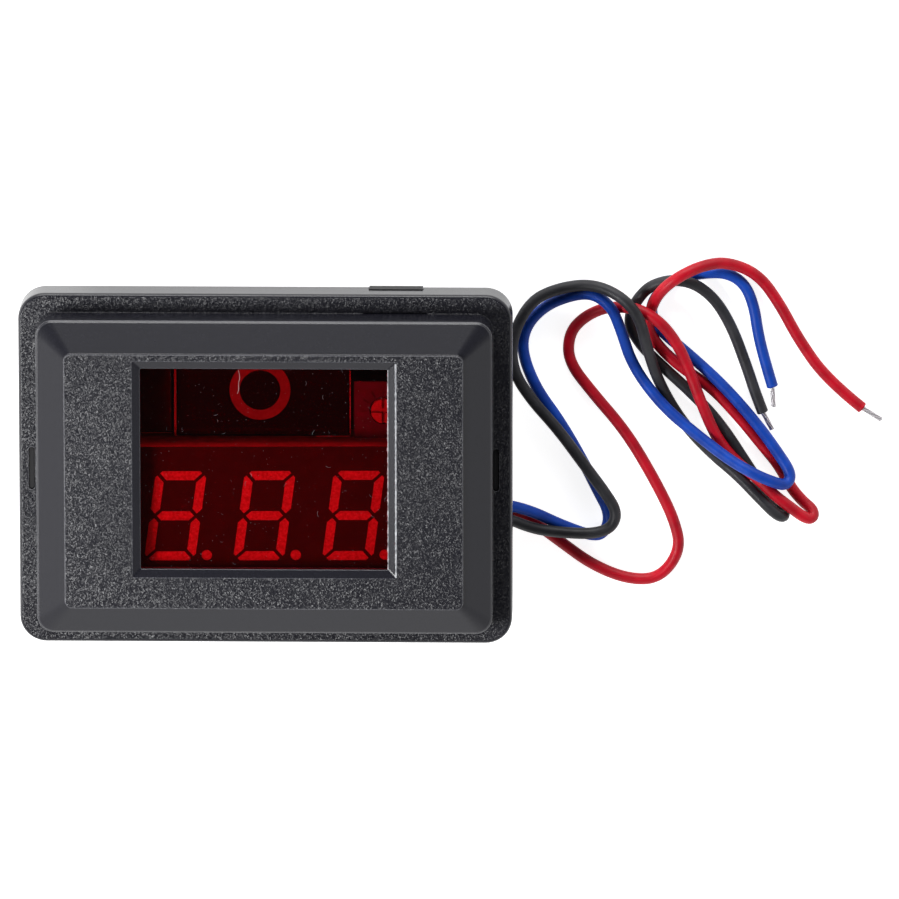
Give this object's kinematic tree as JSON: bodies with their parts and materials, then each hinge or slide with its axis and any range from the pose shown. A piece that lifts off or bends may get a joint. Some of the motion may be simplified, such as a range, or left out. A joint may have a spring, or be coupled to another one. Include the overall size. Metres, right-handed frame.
{
  "type": "panel voltmeter",
  "caption": "Flush digital panel voltmeter: black stepped bezel, red window over a three-figure display, snap-in rear housing and thin coloured leads.",
  "frame": {"origin": "middle of the rear face, on which the meter lies", "axes": "+Z the way the display faces, +X to the right of the display, +Y towards the top of its figures"},
  "size_m": [0.0968, 0.042, 0.0216],
  "materials": {
    "moulded_abs": "black ABS, spark-eroded grain with smooth flanks",
    "red_acrylic": "clear deep red acrylic, polished",
    "display_shell": "dark moulded display shell with a painted face",
    "segment_epoxy": "milky cast epoxy",
    "board_laminate": "green solder mask over glass laminate",
    "moulding_compound": "black transfer-moulded epoxy",
    "gloss_moulding": "polished black epoxy",
    "tinned_metal": "dull tin plating",
    "trimmer_plastic": "blue moulded polyester",
    "trimmer_metal": "nickel-plated pressed metal",
    "capacitor_can": "drawn aluminium can on a dark base",
    "chip_ceramic": "fired chip body with tinned ends",
    "solder": "bright solder fillets",
    "screw_steel": "zinc-plated steel",
    "grommet_rubber": "black moulded rubber",
    "pvc_red": "extruded red PVC",
    "pvc_black": "extruded black PVC",
    "pvc_blue": "extruded blue PVC",
    "tinned_copper": "tinned copper strands"
  },
  "bodies": {
    "meter": {"bezel": "moulded_abs", "red_lens": "red_acrylic", "rear_housing": "moulded_abs", "display_block": "display_shell", "digit_1_segments": "segment_epoxy", "digit_2_segments": "segment_epoxy", "digit_3_segments": "segment_epoxy", "display_pins": "tinned_metal", "main_board": "board_laminate", "converter_module": "gloss_moulding", "converter_pins": "tinned_metal", "bridge_rectifier": "moulding_compound", "rectifier_pins": "tinned_metal", "trimmer_body": "trimmer_plastic", "trimmer_pins": "tinned_metal", "driver_chip": "moulding_compound", "driver_leads": "tinned_metal", "smoothing_capacitor": "capacitor_can", "voltage_regulator": "moulding_compound", "protection_diode": "moulding_compound", "chip_resistors": "chip_ceramic", "chip_capacitors": "chip_ceramic", "digit_transistors": "moulding_compound", "lead_solder_joints": "solder", "board_screws": "screw_steel", "lead_grommet": "grommet_rubber", "inner_wire_red": "pvc_red", "inner_wire_black": "pvc_black", "inner_wire_blue": "pvc_blue", "lead_red": "pvc_red", "lead_black": "pvc_black", "lead_blue": "pvc_blue", "tinned_end_red": "tinned_copper", "tinned_end_black": "tinned_copper", "tinned_end_blue": "tinned_copper"},
    "trimmer": {"trimmer_rotor": "trimmer_metal"}
  },
  "joints": [
    {"name": "trimmer_turn", "type": "hinge", "parent": "meter", "child": "trimmer", "pos_m": [0.0133, 0.0068, 0.0143], "axis": [0, 0, 1], "range_deg": [-130, 130]}
  ]
}
